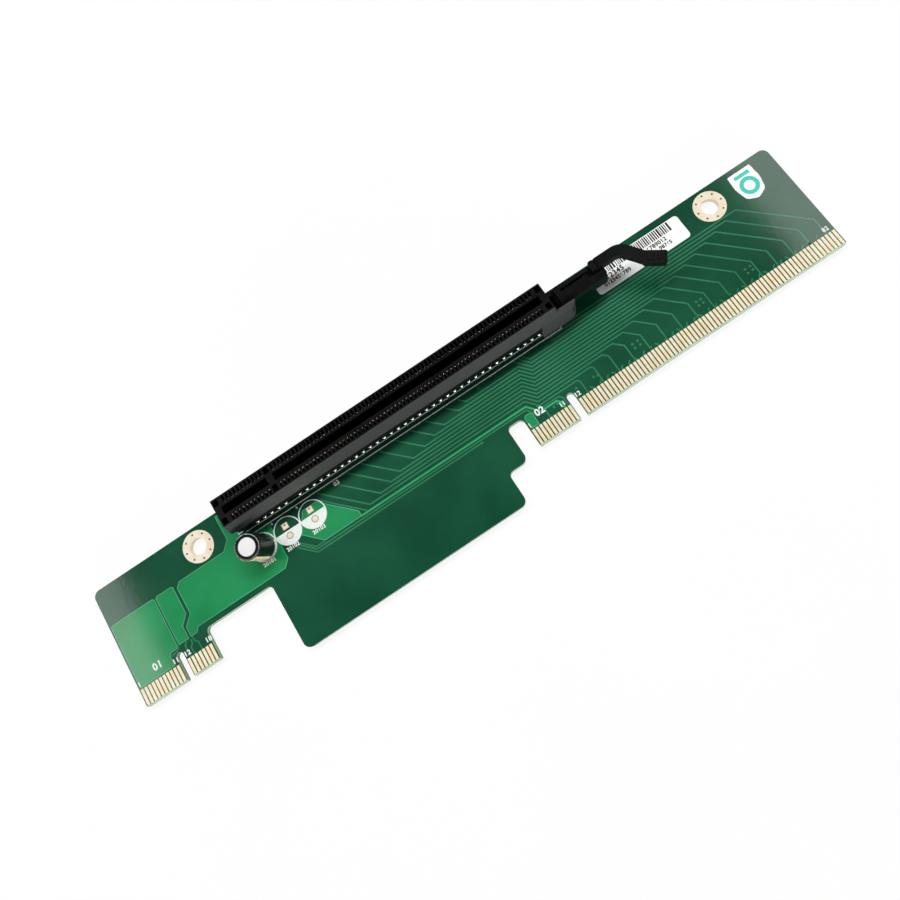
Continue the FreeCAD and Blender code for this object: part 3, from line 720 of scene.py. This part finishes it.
@dataclass
class SignalTracks:
    """Lane tracks from the socket to the long tongue, with their bends and stubs."""

    board: Board
    width_mm: float = 0.36
    rise_mm: float = 0.03
    pitch_mm: float = 0.88
    lanes: int = 16
    first_lane_mm: float = 8.25         # y of the lowest lane right of the bend
    drop_mm: float = 2.7                # every lane steps down by this at the bend
    bend_run_mm: float = 2.2            # and moves right by this
    bend_foot_mm: float = 111.35        # x where the lowest bent lane turns down
    bend_shift_mm: float = 0.385        # each higher lane turns this much later
    starts_mm: tuple[float, ...] = (68.1, 71.5, 75.0, 78.1, 82.4, 86.1, 89.5, 92.7, 97.4, 100.1)
    fan_start_mm: float = 124.6         # x of the first lane's way down to the tongue
    fan_pitch_mm: float = 4.4
    fan_knee_mm: float = 8.9            # y where a slanted run turns straight down
    least_slant_mm: float = 0.6         # least fall before that turn
    stub_top_mm: float = 20.4
    stub_span_mm: Place = (126.2, 190.0)
    stub_pitch_mm: float = 2.0
    stub_lean_mm: float = 0.55
    stub_rises_mm: Place = (0.35, 0.9)  # bend and end of a stub over the fingers
    supply_share: Place = (1.3, 1.2)    # width and rise of the supply track against a lane's
    hole_mm: float = 0.32
    hole_rise_mm: float = 0.05

    def lane(self, index: int) -> list[Place]:
        """Work out the route of one lane.

        Args:
            index: Number of the lane from the lowest.

        Returns:
            The points of the route.
        """
        level = self.first_lane_mm + index * self.pitch_mm
        route = []
        if index < len(self.starts_mm):
            start = self.starts_mm[index]
            upper = level + self.drop_mm
            bend = self.bend_foot_mm + index * self.bend_shift_mm
            route += [(start - (self.stub_top_mm - upper), self.stub_top_mm), (start, upper),
                      (bend, upper), (bend + self.bend_run_mm, level)]
        elif level < self.stub_top_mm - self.pitch_mm:
            knee = self.bend_foot_mm + index * self.bend_shift_mm + self.bend_run_mm
            slant = self.bend_run_mm / self.drop_mm
            route += [(knee - (self.stub_top_mm - level) * slant, self.stub_top_mm), (knee, level)]
        else:
            route.append((self.fan_start_mm, level))
        down = self.fan_start_mm + index * self.fan_pitch_mm
        knee_y = min(self.fan_knee_mm, level - self.least_slant_mm)
        return route + [(down - (level - knee_y), level), (down, knee_y), (down, FINGER_TOP_MM)]

    def low_tracks(self) -> list[list[Place]]:
        """List the tracks below the lanes, which run to the left part of the long tongue.

        Returns:
            The points of each track.
        """
        return [
            [(112.9, 8.5), (113.8, 7.45), (118.4, 7.45), (119.2, 6.65), (119.2, 4.4)],
            [(48.6, 12.6), (52.2, 9.05), (110.4, 9.05), (112.6, 6.45), (114.2, 6.45), (114.2, 4.4)],
            [(48.3, 12.0), (52.0, 8.35), (97.7, 8.35)],
            [(49.3, 12.6), (52.3, 9.65), (54.6, 9.65)],
            [(58.4, 18.5), (66.6, 10.3), (66.6, 9.85)],
            [(10.4, 6.9), (12.2, 7.3), (12.9, 8.1)],
            [(14.3, 4.4), (14.3, 7.3), (15.0, 8.0)],
            [(15.4, 4.4), (15.4, 6.2), (16.1, 6.9), (16.1, 7.9)],
            [(17.5, 4.4), (17.5, 6.4), (16.8, 7.1), (16.8, 8.4)],
        ]

    def stubs(self) -> list[list[Place]]:
        """Work out the short slanted stubs between the tongue's contacts and their through holes.

        Returns:
            The points of each stub.
        """
        routes = []
        bend, end = self.stub_rises_mm
        x, last = self.stub_span_mm
        while x < last:
            lean = self.stub_lean_mm if round(x) % 3 else -self.stub_lean_mm
            routes.append([(x, FINGER_TOP_MM), (x, FINGER_TOP_MM + bend), (x + lean, FINGER_TOP_MM + end)])
            x += self.stub_pitch_mm
        return routes

    def hole_places(self) -> list[Place]:
        """List the small plated holes under the mask.

        Returns:
            The centre of each hole.
        """
        places = [(97.7, 8.35), (122.9, 6.75), (127.7, 6.75), (128.7, 6.5), (14.4, 8.4), (17.0, 10.1),
                  (18.1, 10.1), (18.0, 9.4), (104.1, 20.0), (116.2, 6.0), (117.3, 6.2)]
        for x in (139.4, 140.9, 157.2, 158.4, 170.8, 172.2):
            places += [(x, 7.0), (x, 8.1)]
        return places

    def build(self, line: Material, bright: Material) -> None:
        """Add the tracks, the bright supply track and the through holes.

        Args:
            line: Mask over the tracks and holes.
            bright: Mask over the supply track.
        """
        tracks = Sheet(self.board)
        for route in [self.lane(index) for index in range(self.lanes)] + self.low_tracks() + self.stubs():
            tracks.strip(route, self.width_mm, self.rise_mm)
        tracks.finish("signal_tracks", line)
        supply = Sheet(self.board)
        wider, higher = self.supply_share
        supply.strip([(65.0, 9.8), (110.8, 9.8), (113.2, 6.85), (117.5, 6.85), (118.2, 6.15), (118.2, 4.4)],
                     self.width_mm * wider, self.rise_mm * higher)
        supply.finish("supply_track", bright)
        holes = Sheet(self.board)
        for x, y in self.hole_places():
            holes.dome(x, y, self.hole_mm, self.hole_rise_mm)
        holes.finish("tented_holes", line, smooth=True)


@dataclass
class Silkscreen:
    """White print: the socket's outline, the capacitor places and plain numerals."""

    board: Board
    rise_mm: float = 0.05
    line_mm: float = 0.24
    sink_mm: float = 0.02               # middle of the numerals, below the top of the lines
    digits_thick_mm: float = 0.02
    places: int = 3
    place_pitch_mm: float = 7.0
    place_radius_mm: float = 3.39
    half_sink_mm: float = 0.006         # filled halves lie this much below their rings
    half_steps: int = 40
    plus_left_mm: float = 2.5           # middle of a plus sign, left of its place
    plus_y_mm: float = 20.25
    plus_half_mm: Place = (0.25, 0.35)  # half width and half height of a plus sign
    plus_sink_mm: float = 0.002

    def outline_lines(self, ink: Material) -> None:
        """Add the double line along the socket and its closed right end.

        Args:
            ink: Ink of the print.
        """
        sheet = Sheet(self.board)
        sheet.strip([(39.6, 22.15), (128.1, 22.15)], self.line_mm, self.rise_mm)
        sheet.strip([(41.5, 20.9), (128.4, 20.9), (128.4, 23.0)], self.line_mm, self.rise_mm)
        sheet.finish("socket_outline_print", ink)

    def capacitor_places(self, ink: Material) -> None:
        """Add the ring and the filled half of each capacitor place, and a plus sign at the empty ones.

        Args:
            ink: Ink of the print.
        """
        sheet = Sheet(self.board)
        first, y = CAPACITOR_MM
        radius = self.place_radius_mm
        centres = [first + index * self.place_pitch_mm for index in range(self.places)]
        for x in centres:
            sheet.hoop(x, y, (radius - self.line_mm / 2, radius + self.line_mm / 2), self.rise_mm)
            half = [(x + radius * math.cos(a), y + radius * math.sin(a))
                    for a in (math.pi + math.pi * i / self.half_steps for i in range(self.half_steps + 1))]
            sheet.plate(half, 0.0, self.rise_mm - self.half_sink_mm)
        across, up = self.plus_half_mm
        for x in (centre - self.plus_left_mm for centre in centres[1:]):
            sheet.strip([(x, self.plus_y_mm - up), (x, self.plus_y_mm + up)], self.line_mm, self.rise_mm)
            sheet.strip([(x - across, self.plus_y_mm), (x + across, self.plus_y_mm)], self.line_mm,
                        self.rise_mm - self.plus_sink_mm)
        sheet.finish("capacitor_place_print", ink)

    def numerals(self, ink: Material) -> None:
        """Add plain numerals beside the tongues, the socket and the capacitors.

        Args:
            ink: Ink of the print.
        """
        marks = [("1", 0.25, 5.0, 1.2), ("11", 9.9, 5.0, 1.2), ("12", 13.1, 5.0, 1.2), ("18", 19.0, 5.0, 1.2),
                 ("01", 5.2, 6.3, 1.7), ("02", 111.7, 6.35, 1.7), ("03", 63.1, 19.4, 1.1),
                 ("20101", 39.3, 12.35, 0.93), ("20102", 45.9, 12.35, 0.93), ("20103", 53.2, 12.35, 0.93),
                 ("1", 108.8, 5.0, 1.1), ("11", 117.4, 5.0, 1.1), ("12", 121.6, 5.0, 1.1),
                 ("82", 190.3, 5.0, 1.1), ("20", 37.6, 22.6, 0.9)]
        digits = Digits(self.rise_mm - self.sink_mm, self.digits_thick_mm)
        digits.lay(self.board, "numeral_%02d", marks, ink)


@dataclass(frozen=True)
class Digits:
    """Rows of plain printed digits."""

    middle_mm: float            # height of the middle of their thickness
    thick_mm: float
    scale: float = 1.35         # size of the type against the height of its digits
    weight: float = 0.045       # how much bolder than the plain type, against that height
    spacing: float = 1.1

    def mesh(self, name: str, text: str, size_mm: float) -> bpy.types.Mesh:
        """Make one row of digits as a mesh.

        Args:
            name: Name of the mesh.
            text: Digits to write.
            size_mm: Height of the digits, roughly.

        Returns:
            The mesh, with its lower left corner at the origin.
        """
        curve = bpy.data.curves.new(name, "FONT")
        curve.body = text
        curve.size = size_mm * MM * self.scale
        curve.extrude = self.thick_mm * MM / 2
        curve.offset = size_mm * MM * self.weight
        curve.space_character = self.spacing
        holder = bpy.data.objects.new(name + "_line", curve)
        data = bpy.data.meshes.new_from_object(holder)
        data.materials.clear()
        bpy.data.objects.remove(holder)
        bpy.data.curves.remove(curve)
        return data

    def lay(self, board: Board, pattern: str, rows: list[tuple[str, float, float, float]],
            ink: Material) -> None:
        """Add one piece for each row.

        Args:
            board: Board that carries them.
            pattern: Pattern of the pieces' names.
            rows: Digits, x and y of their lower left corner and their size.
            ink: Ink of the print.
        """
        for number, (text, x, y, size_mm) in enumerate(rows):
            name = pattern % number
            data = self.mesh(name, text, size_mm)
            data.transform(Matrix.Translation(board.at(x, y, self.middle_mm)))
            seat_piece(name, data, ink)


# -------------------- plated and soldered parts

@dataclass
class MountingRings:
    """Stitching holes round the two plated mounting holes."""

    board: Board
    y_mm: float = 25.75
    places_mm: Place = (27.85, 173.85)
    circle_mm: float = 3.2
    hole_mm: float = 0.24
    holes: int = 8
    hole_sides: int = 14
    low_mm: float = 0.05
    high_mm: float = 0.058

    def build(self, shade: Material) -> None:
        """Add the ring of small dark holes in each plated ring.

        Args:
            shade: Finish of the holes.
        """
        sheet = Sheet(self.board)
        for x in self.places_mm:
            for px, py in ring_points(x, self.y_mm, self.circle_mm, self.holes):
                sheet.plate(ring_points(px, py, self.hole_mm, self.hole_sides), self.low_mm, self.high_mm)
        sheet.finish("ring_stitch_holes", shade)


@dataclass
class ContactTips:
    """Bright noses of the socket's contacts, which stand at the inner ends of the cells."""

    board: Board
    rows_mm: Place = (24.02, 27.48)
    half_mm: Place = (0.15, 0.13)
    low_mm: float = 10.3
    high_mm: float = 10.7

    def build(self, bright: Material) -> None:
        """Add one nose for each contact.

        Args:
            bright: Finish of the noses.
        """
        sheet = Sheet(self.board)
        across, deep = self.half_mm
        for x in (pin_x(pin) for pin in range(1, PINS + 1)):
            for y in self.rows_mm:
                sheet.block((x - across, x + across), (y - deep, y + deep), self.low_mm, self.high_mm)
        sheet.finish("contact_noses", bright)


@dataclass
class EmptyPads:
    """Drill shades and rims of the two unused capacitor places' pads."""

    board: Board
    places_mm: Place = (48.25, 55.25)
    square_y_mm: float = 18.05
    round_y_mm: float = 15.45
    mouth_half_mm: float = 0.3
    mouth_mm: Place = (0.1, 0.42)       # front and rear of a drill shade, from its pad's middle
    low_mm: float = 0.05
    high_mm: float = 0.075
    rim_radii_mm: Place = (0.68, 0.84)
    rim_half_mm: float = 0.8
    rim_width_mm: float = 0.12
    rim_sink_mm: float = 0.01
    rim_steps: int = 32

    def build(self, shade: Material, copper: Material) -> None:
        """Add the shaded drill mouths and the tan rims.

        Args:
            shade: Finish of the mouths.
            copper: Finish of the rims.
        """
        mouths = Sheet(self.board)
        rims = Sheet(self.board)
        y, half = self.square_y_mm, self.rim_half_mm
        mouth_y = tuple(y + reach for reach in self.mouth_mm)
        for x in self.places_mm:
            mouths.block((x - self.mouth_half_mm, x + self.mouth_half_mm), mouth_y, self.low_mm, self.high_mm)
        mouths.finish("pad_drill_shades", shade)
        for x in self.places_mm:
            rims.hoop(x, self.round_y_mm, self.rim_radii_mm, self.high_mm, self.rim_steps)
        for x in self.places_mm:
            left, right, front, rear = x - half, x + half, y - half, y + half
            rims.strip([(left, rear), (left, front), (right, front), (right, rear)], self.rim_width_mm,
                       self.high_mm - self.rim_sink_mm)
        rims.finish("pad_rims", copper)


@dataclass
class SocketSolder:
    """Beads of solder round the socket's tails on the component face."""

    board: Board
    centre_mm: float = 25.75
    row_mm: float = 2.9
    bead_mm: float = 0.52
    bead_rise_mm: float = 0.42

    def build(self, solder: Material) -> None:
        """Add the two outer rows of beads.

        Args:
            solder: Finish of the beads.
        """
        sheet = Sheet(self.board)
        for x in (pin_x(pin) for pin in range(2, PINS + 1, 2)):
            for side in (-1, 1):
                sheet.dome(x, self.centre_mm + side * self.row_mm, self.bead_mm, self.bead_rise_mm)
        sheet.finish("tail_solder_beads", solder, smooth=True)


# -------------------- capacitor

@dataclass
class CapacitorDress:
    """Stripe and polarity bars of the leaning capacitor."""

    board: Board
    radius_mm: float = 3.15
    height_mm: float = 8.6
    lean_deg: float = 4.5
    heading_deg: float = 225.0
    stripe_heading_deg: float = 245.0
    stripe_half_deg: float = 38.0
    stripe_foot_mm: float = 0.4
    stripe_gap_mm: float = 0.3          # between the stripe and the can's top
    stripe_lift_mm: float = 0.02
    bar_half_deg: float = 7.0
    bar_mm: float = 0.8
    bar_feet_mm: tuple[float, ...] = (0.9, 2.7, 4.5, 6.3)
    bar_share: float = 0.45             # columns of bars, as a share of the stripe's half angle
    bar_lift_mm: float = 0.035
    sink_mm: float = 0.05               # patches reach this much into the sleeve
    patch_step_deg: float = 4.0

    def lean(self) -> Matrix:
        """Work out the turn that leans the can over the front left edge of its foot.

        Returns:
            The turn, in the frame of the solids.
        """
        heading = math.radians(self.heading_deg)
        ahead = Vector((math.cos(heading), math.sin(heading), 0.0))
        foot = self.board.at(*CAPACITOR_MM) + ahead * self.radius_mm * MM
        axis = Vector((0.0, 0.0, 1.0)).cross(ahead)
        turn = Matrix.Rotation(math.radians(self.lean_deg), 4, axis)
        return Matrix.Translation(foot) @ turn @ Matrix.Translation(-foot)

    def band(self, name: str, spans: list[tuple[float, float, float, float]], lift: float,
             material: Material) -> None:
        """Add patches that follow the sleeve.

        Args:
            name: Name of the piece.
            spans: First and last angle from the stripe's middle in degrees, then low and high z.
            lift: Distance outside the sleeve.
            material: Finish of the patches.
        """
        mesh = bmesh.new()
        x, y = CAPACITOR_MM
        inner, outer = self.radius_mm - self.sink_mm, self.radius_mm + lift
        for first, last, low, high in spans:
            count = max(2, round(abs(last - first) / self.patch_step_deg))
            rows = []
            for index in range(count + 1):
                angle = math.radians(self.stripe_heading_deg + first + (last - first) * index / count)
                rim = []
                for reach, z in ((inner, low), (outer, low), (outer, high), (inner, high)):
                    place = self.board.at(x + reach * math.cos(angle), y + reach * math.sin(angle), z)
                    rim.append(mesh.verts.new(place))
                rows.append(rim)
            for one, two in zip(rows, rows[1:]):
                for index in range(4):
                    after = (index + 1) % 4
                    mesh.faces.new((one[index], one[after], two[after], two[index]))
            mesh.faces.new(rows[0])
            mesh.faces.new(rows[-1][::-1])
        data = close_mesh(mesh, name)
        data.transform(self.lean())
        seat_piece(name, data, material)

    def build(self, gold: Material, mark: Material) -> None:
        """Add the stripe and its dark bars.

        Args:
            gold: Ink of the stripe.
            mark: Ink of the bars.
        """
        half = self.stripe_half_deg
        stripe = (-half, half, self.stripe_foot_mm, self.height_mm - self.stripe_gap_mm)
        self.band("polarity_stripe", [stripe], self.stripe_lift_mm, gold)
        bars = [(middle - self.bar_half_deg, middle + self.bar_half_deg, z, z + self.bar_mm)
                for middle in (-half * self.bar_share, half * self.bar_share) for z in self.bar_feet_mm]
        self.band("polarity_bars", bars, self.bar_lift_mm, mark)


# -------------------- labels

@dataclass
class BarcodeLabel:
    """Bars and plain digits of the flat label beside the latch."""

    board: Board
    bars_x_mm: Place = (143.0, 163.5)
    bars_y_mm: Place = (26.1, 28.5)
    bar_widths_mm: tuple[float, ...] = (0.2, 0.2, 0.34, 0.48)
    bar_gaps_mm: tuple[float, ...] = (0.22, 0.22, 0.36)
    low_mm: float = 0.09
    print_mm: float = 0.115
    digits_sink_mm: float = 0.008       # middle of the digits, below the top of the bars
    digits_thick_mm: float = 0.015
    seed: int = 5

    def build(self, ink: Material) -> None:
        """Add the bars and two rows of plain digits.

        Args:
            ink: Ink of the print.
        """
        sheet = Sheet(self.board)
        widths = random.Random(self.seed)
        x, last = self.bars_x_mm
        while x < last:
            width = widths.choice(self.bar_widths_mm)
            sheet.block((x, x + width), self.bars_y_mm, self.low_mm, self.print_mm)
            x += width + widths.choice(self.bar_gaps_mm)
        sheet.finish("label_bars", ink)
        rows = [("012345", 142.9, 24.6, 1.35), ("6789012", 155.6, 24.75, 1.05),
                ("0123456789", 142.6, 23.3, 1.0), ("98765", 158.2, 23.4, 0.95)]
        digits = Digits(self.print_mm - self.digits_sink_mm, self.digits_thick_mm)
        digits.lay(self.board, "label_digits_%d", rows, ink)


@dataclass
class ShieldLabel:
    """Teal ring and band of the small shield-shaped label."""

    board: Board
    x_mm: float = 184.4
    y_mm: float = 24.6
    ring_mm: Place = (1.35, 2.35)
    band_half_mm: float = 2.0
    band_y_mm: Place = (27.35, 28.25)
    low_mm: float = 0.09
    print_mm: float = 0.115

    def build(self, ink: Material) -> None:
        """Add the ring and the band above it.

        Args:
            ink: Ink of the print.
        """
        sheet = Sheet(self.board)
        sheet.hoop(self.x_mm, self.y_mm, self.ring_mm, self.print_mm)
        sheet.block((self.x_mm - self.band_half_mm, self.x_mm + self.band_half_mm), self.band_y_mm,
                    self.low_mm, self.print_mm)
        sheet.finish("shield_ring_print", ink)


# -------------------- studio

@dataclass(frozen=True)
class Panel:
    """A soft panel of light that faces a place on the Y axis."""

    name: str
    place_m: tuple[float, float, float]
    size_m: Place
    power_w: float
    aim_y_m: float = 0.0
    mirrored: bool = True       # False keeps it out of reflections

    def build(self) -> None:
        """Add the panel."""
        data = bpy.data.lights.new(self.name, "AREA")
        data.shape = "RECTANGLE"
        data.size, data.size_y = self.size_m
        data.energy = self.power_w
        holder = bpy.data.objects.new(self.name, data)
        holder.location = self.place_m
        aim = Vector((0.0, self.aim_y_m, 0.0)) - Vector(self.place_m)
        holder.rotation_euler = aim.to_track_quat("-Z", "Y").to_euler()
        holder.visible_glossy = self.mirrored
        bpy.context.scene.collection.objects.link(holder)


@dataclass(frozen=True)
class Studio:
    """Pale floor, plain soft light and the camera above the front of the card."""

    camera_mm: tuple[float, float, float] = (1.47, -48.45, 186.6)     # in the frame of the solids
    camera_turn_deg: tuple[float, float, float] = (12.455, 8.32, -32.70)
    lens_mm: float = 32.66
    sensor_mm: float = 36.0
    clip_m: float = 0.005
    shift: Place = (-0.0273, -0.0181)
    floor_m: float = 30.0
    tent_rise: Place = (0.1, 0.3)       # upright part of a ray where the tent starts and ends to dim
    tent_glow: Place = (1.0, 0.08)      # and its strength there
    panels: tuple[Panel, ...] = (
        Panel("top_key", (0.0, 0.24, 0.80), (0.90, 0.12), 6.6, mirrored=False),
        Panel("left_panel", (-0.63, 0.20, 0.86), (0.40, 0.22), 0.95, 0.20),
        Panel("right_panel", (0.60, 0.20, 0.86), (0.40, 0.22), 0.9, 0.20),
        Panel("front_panel", (0.0, -0.90, 0.12), (1.2, 0.24), 6.5),
    )

    def camera(self) -> None:
        """Place the camera."""
        data = bpy.data.cameras.new("camera")
        data.lens = self.lens_mm
        data.sensor_width = self.sensor_mm
        data.shift_x, data.shift_y = self.shift
        data.clip_start = self.clip_m
        holder = bpy.data.objects.new("camera", data)
        holder.location = Vector(self.camera_mm) * MM
        holder.rotation_euler = Euler([math.radians(angle) for angle in self.camera_turn_deg])
        bpy.context.scene.collection.objects.link(holder)
        bpy.context.scene.camera = holder

    def tent(self) -> None:
        """Add the tent round the card: white to the camera, pale at the horizon, dark overhead."""
        world = bpy.data.worlds.new("room")
        world.use_nodes = True
        tree = world.node_tree
        tree.nodes.clear()
        ways = add_node(tree, "ShaderNodeTexCoord").outputs["Generated"]
        rise = add_node(tree, "ShaderNodeSeparateXYZ", links={"Vector": ways}).outputs["Z"]
        span = dict(zip(("From Min", "From Max", "To Min", "To Max"), self.tent_rise + self.tent_glow))
        tent = add_node(tree, "ShaderNodeMapRange", span, {"Value": rise}).outputs["Result"]
        seen = add_node(tree, "ShaderNodeLightPath").outputs["Is Camera Ray"]
        level = add_node(tree, "ShaderNodeMath", {"operation": "MAXIMUM"}, {0: tent, 1: seen})
        glow = add_node(tree, "ShaderNodeBackground", {"Color": (1, 1, 1, 1)},
                        {"Strength": level.outputs["Value"]})
        add_node(tree, "ShaderNodeOutputWorld", links={"Surface": glow.outputs["Background"]})
        bpy.context.scene.world = world

    def floor(self) -> None:
        """Add the pale floor."""
        half = self.floor_m / 2
        data = bpy.data.meshes.new("floor")
        corners = [(-half, -half, 0.0), (half, -half, 0.0), (half, half, 0.0), (-half, half, 0.0)]
        data.from_pydata(corners, [], [(0, 1, 2, 3)])
        data.materials.append(PaleFloor().build())
        plane = bpy.data.objects.new("floor", data)
        bpy.context.scene.collection.objects.link(plane)

    def build(self) -> None:
        """Add everything that isn't the card."""
        self.camera()
        for panel in self.panels:
            panel.build()
        self.tent()
        self.floor()
        bpy.context.scene.view_settings.view_transform = "Standard"


# -------------------- the card

def dress_solids(nodes: dict[str, bpy.types.Object]) -> None:
    """Give every solid of the frame its finish.

    Args:
        nodes: Objects of the frame by name.
    """
    gold = GoldPlate().build()
    cream = GoldPlate("immersion_gold", "FBEBCB", "FFF6E2", 0.5).build()
    # the socket's side walls carry painted sheen, a lighter grey for the light that they catch
    socket = SheenFlankPlastic("socket_nylon").build()
    alloy = ContactAlloy().build()
    solder = SolderCoat().build()
    finishes = {
        "circuit_board": MaskedLaminate().build(),
        "socket_housing": socket,
        "retention_latch": MouldedPlastic("latch_nylon", "050506", "0C0C0D", 0.38).build(),
        "capacitor_can": PressedAluminium().build(),
        "capacitor_sleeve": ShrunkFilm("black_sleeve", "040405", "08080A").build(),
        "capacitor_bung": BungRubber().build(),
        "capacitor_leads": solder,
        "socket_joints": solder,
        "barcode_label": LabelPaper().build(),
        "shield_label": LabelPaper().build(),
    }
    for name, node in nodes.items():
        if "fingers" in name:
            dress(node, gold)
        elif "contacts" in name:
            dress(node, alloy)
        elif name.startswith(("mounting_hole", "empty_pads")):
            dress(node, cream)
        else:
            dress(node, finishes[name])


def build_artwork(board: Board) -> None:
    """Add the copper, the print and the solder beads.

    Args:
        board: Board that carries them.
    """
    field = SolderMask("masked_pour", "158048", "208F55").build()
    line = SolderMask("masked_track", "2A704C", "347F59").build()
    bright = SolderMask("masked_supply", "2C9A5E", "36A76B").build()
    ink = PrintedInk("white_print", "DDE4DF", "F4F7F4").build()
    CopperPours(board).build(field, SolderMask("masked_rim", "4C9C72", "5CAA80").build())
    SignalTracks(board).build(line, bright)
    silk = Silkscreen(board)
    silk.outline_lines(ink)
    silk.capacitor_places(ink)
    silk.numerals(ink)
    MountingRings(board).build(PrintedInk("stitch_hole_shade", "5A3A1C", "6E4A26").build())
    ContactTips(board).build(GoldPlate("contact_nose_gold").build())
    EmptyPads(board).build(PrintedInk("drill_shade", "7A5A34", "8E6C40").build(),
                           PrintedInk("pad_rim_copper", "8C7A4E", "A08E5E").build())
    # the beads take a lighter copy of the solder finish: painted glint
    SocketSolder(board).build(SolderCoat("bead_solder_painted_glint", "E2E2DE", "FFFFFF").build())


def build_fittings(board: Board) -> None:
    """Add the print on the capacitor and on the labels.

    Args:
        board: Board that carries them.
    """
    CapacitorDress(board).build(PrintedInk("gold_stripe", "E6CFA0", "F8E8C4", 0.3).build(),
                                PrintedInk("stripe_bars", "6E4C26", "8A6438", 0.3).build())
    black = PrintedInk("black_print", "1A1A1A", "2A2A2A").build()
    BarcodeLabel(board).build(black)
    ShieldLabel(board).build(PrintedInk("teal_print", "3FC4B0", "52D2BE").build())


def main() -> None:
    """Load the solids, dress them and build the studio."""
    logging.basicConfig(level=logging.INFO, format="%(name)s: %(message)s")
    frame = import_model()
    board = Board.from_frame()
    Studio().build()
    dress_solids(frame["nodes"])
    build_artwork(board)
    build_fittings(board)


if __name__ == "__main__":
    main()
